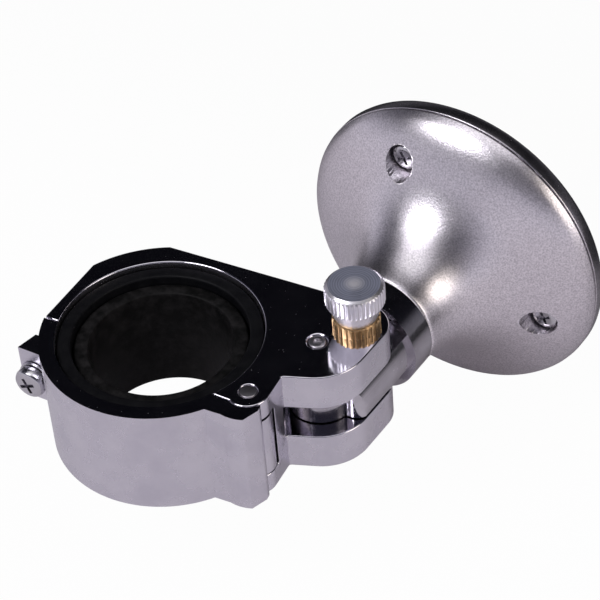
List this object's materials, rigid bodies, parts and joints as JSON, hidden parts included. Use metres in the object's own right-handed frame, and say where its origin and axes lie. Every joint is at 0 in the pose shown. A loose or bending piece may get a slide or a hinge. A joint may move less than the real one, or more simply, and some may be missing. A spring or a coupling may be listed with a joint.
{
  "type": "clamp-on convex mirror head",
  "caption": "Small round convex mirror on a trumpet-shaped shell that swivels and folds on a hinged, rubber-lined tube clamp with a spring index plunger.",
  "frame": {"origin": "centre of the clamped tube at the clamp's lower face", "axes": "+Z along the clamped tube towards the plunger's side, +X from the tube to the pivot of the folding joint"},
  "size_m": [0.0993, 0.0757, 0.0588],
  "materials": {
    "body_chrome": "mirror-polished chrome plate",
    "jaw_chrome": "mirror-polished chrome plate",
    "hinge_pin_steel": "satin ground steel",
    "pivot_pin_steel": "satin turned steel with a bright chamfer",
    "screw_steel": "bright nickel-plated steel",
    "washer_steel": "bright nickel-plated steel",
    "outer_rubber": "matt black rubber",
    "inner_rubber": "matt black rubber",
    "bush_brass": "polished brass with a coarse knurl",
    "plunger_pin_steel": "ground steel",
    "spring_steel": "bright spring wire",
    "knob_aluminium": "turned satin aluminium with a straight knurl",
    "neck_chrome": "mirror-polished chrome plate",
    "thrust_washer_nylon": "dark bearing plastic",
    "swivel_bush_nylon": "dark bearing plastic",
    "flat_washer_steel": "zinc-plated steel",
    "wave_washer_steel": "spring steel",
    "lock_nut_steel": "zinc-plated steel",
    "shell_satin": "fine satin silver",
    "bezel_satin": "fine satin silver",
    "carrier_steel": "grey paint",
    "pad_foam": "closed-cell foam",
    "mirror_face": "silvered convex face",
    "shell_screw_1_steel": "bright nickel-plated steel",
    "shell_screw_2_steel": "bright nickel-plated steel",
    "shell_screw_3_steel": "bright nickel-plated steel"
  },
  "bodies": {
    "clamp": {"clamp_body": "body_chrome", "hinge_pin": "hinge_pin_steel", "pivot_pin": "pivot_pin_steel", "outer_sleeve": "outer_rubber", "inner_sleeve": "inner_rubber", "plunger_bush": "bush_brass", "plunger_spring": "spring_steel"},
    "jaw": {"clamp_jaw": "jaw_chrome", "clamp_screw_washer": "washer_steel"},
    "screw": {"clamp_screw": "screw_steel"},
    "plunger": {"plunger_pin": "plunger_pin_steel", "plunger_knob": "knob_aluminium"},
    "neck": {"neck_block": "neck_chrome", "thrust_washer": "thrust_washer_nylon", "flat_washer": "flat_washer_steel", "wave_washer": "wave_washer_steel", "lock_nut": "lock_nut_steel"},
    "head": {"back_shell": "shell_satin", "swivel_bush": "swivel_bush_nylon", "front_bezel": "bezel_satin", "mirror_carrier": "carrier_steel", "foam_pad": "pad_foam", "mirror_glass": "mirror_face", "shell_screw_1": "shell_screw_1_steel", "shell_screw_2": "shell_screw_2_steel", "shell_screw_3": "shell_screw_3_steel"}
  },
  "joints": [
    {"name": "jaw_hinge", "type": "hinge", "parent": "clamp", "child": "jaw", "pos_m": [0.01741, -0.01279, 0.01055], "axis": [0, 0, 1], "range_deg": [0, 50]},
    {"name": "screw_turn", "type": "hinge", "parent": "jaw", "child": "screw", "pos_m": [-0.021, 0.00234, 0.01055], "axis": [0.3665, 0.9304, 0], "continuous": true},
    {"name": "plunger_pull", "type": "slide", "parent": "clamp", "child": "plunger", "axis": [0, 0, 1], "range_m": [0, 0.0036], "stiffness_N_per_m": 300, "springref_m": -0.003, "deforming": ["plunger_spring"]},
    {"name": "arm_fold", "type": "hinge", "parent": "clamp", "child": "neck", "pos_m": [0.0271, 0, 0.0093], "axis": [0, 0, 1], "range_deg": [-85, 0]},
    {"name": "head_swivel", "type": "hinge", "parent": "neck", "child": "head", "pos_m": [0.0271, 0, 0.0093], "axis": [0.4226, 0.9063, 0], "continuous": true}
  ]
}
